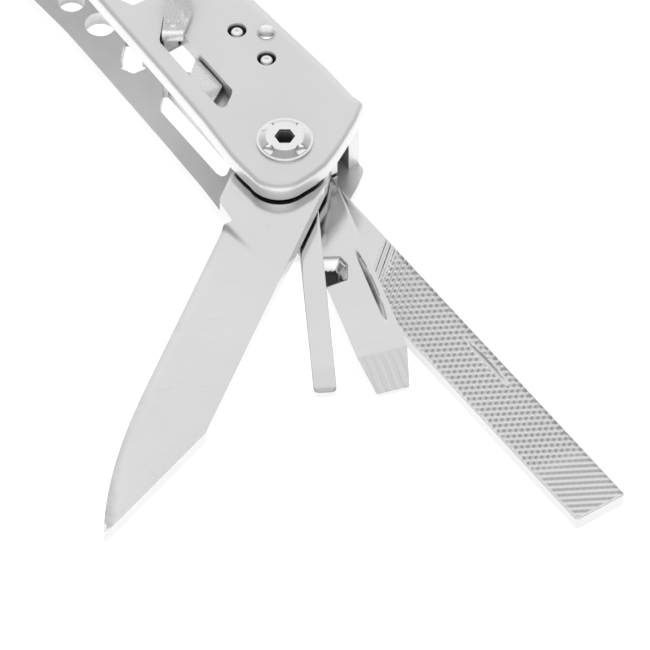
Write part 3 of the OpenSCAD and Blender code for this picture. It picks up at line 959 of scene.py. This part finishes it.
def saw_under(p, y):
    share = (p - 18) / TOOTH
    set_over = 0.55 * smooth(1.8, 3.6, -y) * (1 - math.floor(share) % 2) if 18 < p < 71 else 0.0
    return saw_loss(p, y) if p < 18 or y > -1.8 else set_over


def make_saw():
    outline = arc((0, 0), TANG_R, 88, 272, 24) + [(3.8, -5.7), (10.8, -5.7), (11.5, -5.3), (14.7, -2.4)]
    for i in range(22):
        outline += [(18 + i * TOOTH, -3.7), (18 + (i + 0.95) * TOOTH, -2.0)]
    outline += [(71.5, -1.7), (BLADE_LEN - 0.6, 0.2), (BLADE_LEN, 0.9), (66.4, 6.9)]
    outline += [(65.6, 7.2), (3.4, 7.2), (2.6, 6.7)]
    top = lambda p, y: saw_loss(p, y) + nick(p, y, 30, 5.6, 12, 1.1, 0.5)
    make_tool("saw", outline, top, saw_under, 0.7, ((16.5, -3.6), (71.0, -1.4), 0.3), 0.08)


CAN_TIP = 39.0


def can_loss(p, y):
    """A sharpened claw round the hollow, and a ground driver end."""
    claw = 0.75 * (1 - smooth(0.0, 1.5, math.hypot(p - 19, y + 0.6) - 3.6)) * smooth(15, 17, p)
    return claw + 0.12 * max(0.0, p - 33.5)


def make_can_opener():
    outline = arc((0, 0), TANG_R, 90, 270, 24) + [(3.2, -5.5), (8.5, -0.4), (15.2, -0.4)]
    outline += arc((19, -0.6), 3.6, 175, 10, 14)
    outline += [(26, -1.6), (30, -0.4), (33, 1.8), (CAN_TIP, 2.2), (CAN_TIP, 5.2), (34, 6.9), (3.4, 6.9)]
    top = lambda p, y: can_loss(p, y) + nick(p, y, 21, 5.6, 12, 1.1, 0.5)
    under = lambda p, y: 0.1 * max(0.0, p - 33.5)
    make_tool("can_opener", outline, top, under, 0.5, ((14, -1.5), (CAN_TIP - 0.1, 6.8), 0.25))


SCALLOP = 4.0


def serrated_edge(p):
    """Depth of the scallops along the edge."""
    if not 15 < p < 63:
        return 0.0
    share = (p - 15) / SCALLOP % 1 - 0.5
    return 1.05 * math.sqrt(max(0.0, 1 - (2 * share) ** 2))


def serrated_loss(p, y):
    above = y + 1.6 - serrated_edge(p)
    start = smooth(12.5, 14.5, p)
    return start * (0.85 * max(0.0, 1 - above / 1.6) + 0.3 * (1 - smooth(1.0, 6.5, above)))


def serrated_under(p, y):
    return 0.3 * smooth(12.5, 14.5, p) * (1 - smooth(0.5, 5.5, y + 1.6))


def make_serrated_blade():
    outline = arc((0, 0), TANG_R, 85, 240, 20) + [(3.2, -5.5), (6.5, -1.6)]
    outline += [(15 + 0.4 * i, -1.6 + serrated_edge(15 + 0.4 * i)) for i in range(121)]
    outline += [(64.5, -1.6), (70.9, 1.5), (FILE_LEN, 2.2), (FILE_LEN, 3.8), (66.2, 7.2)]
    outline += [(65.6, 7.3), (3.2, 7.3)]
    top = lambda p, y: serrated_loss(p, y) + nick(p, y, 34, 5.8, 11, 1.1, 0.5)
    make_tool("serrated_blade", outline, top, serrated_under, 0.6, ((12, -1.5), (66, 1.8), 0.3), 0.08)


# ---- everything ----

make_camera()
make_world()
make_floor()
bpy.context.scene.view_settings.view_transform = "Standard"


def direction(matrix):
    along = matrix.to_3x3() @ Vector((1, 0, 0))
    return math.atan2(along.y, along.x)


handle_steel = {
    side: steel(
        "handle_steel_" + side, 0.86, 0.34, metallic=0.5, angle=direction(PLACE[side]), stretch=2,
        streak=0.03, painted_gap_shade=(0.15, 0.25),
    )
    for side in "ab"
}
tool_steel = {
    tool: steel(
        "tool_steel_" + tool, 0.73, 0.14, angle=direction(tool_place(tool)) + math.pi / 2,
        stretch=25, bump=0.08,
    )
    for tool in SIDE
}
bright_steel = steel("bright_steel", 0.85, 0.14, stretch=2, bump=0.06)
spring_steel = steel("spring_steel", 0.74, 0.25, stretch=8)
lock_steel = steel("lock_steel", 0.92, 0.28, metallic=0.4, stretch=3, bump=0.02, streak=0.02)
jaw_steel = steel("jaw_steel", 0.72, 0.33, stretch=2)
# Painted shade: a near-black finish put where hollows lie in shadow, in the pins' recesses and on the bottle
# opener's notch floor
hollow_shade_fill = steel("painted_hollow_shade", 0.06, 0.45, metallic=0.6, stretch=2, streak=0.02)
# Painted shade: dark grey inside the key sockets, for the shade down a deep socket
painted_socket_shade = steel("painted_socket_shade", 0.3, 0.5, metallic=0.5, stretch=2, streak=0.04, painted_gap_shade=(0.4, 0.3))

for side in "ab":
    make_handle(side)
    make_lock(side)
    make_small_parts(side)
    for name in ("tool_bolt_", "tool_nut_", "head_bolt_", "head_nut_"):
        dress(name + side, bright_steel, 0.1, 30)
    for name in ("tool_washers_", "head_spacers_"):
        dress(name + side, bright_steel, 0.12, 40)
    dress("back_spring_" + side, spring_steel, 0.15, 40)
dress("phillips_driver", tool_steel["phillips_driver"], 0.14, 25)
for name in ("jaw_a", "jaw_b"):
    dress(name, jaw_steel, 0.35, 30, 3)
dress("jaw_rivet", bright_steel, 0.2, 40)

make_knife()
make_small_driver()
make_bottle_opener()
make_file()
make_saw()
make_can_opener()
make_serrated_blade()
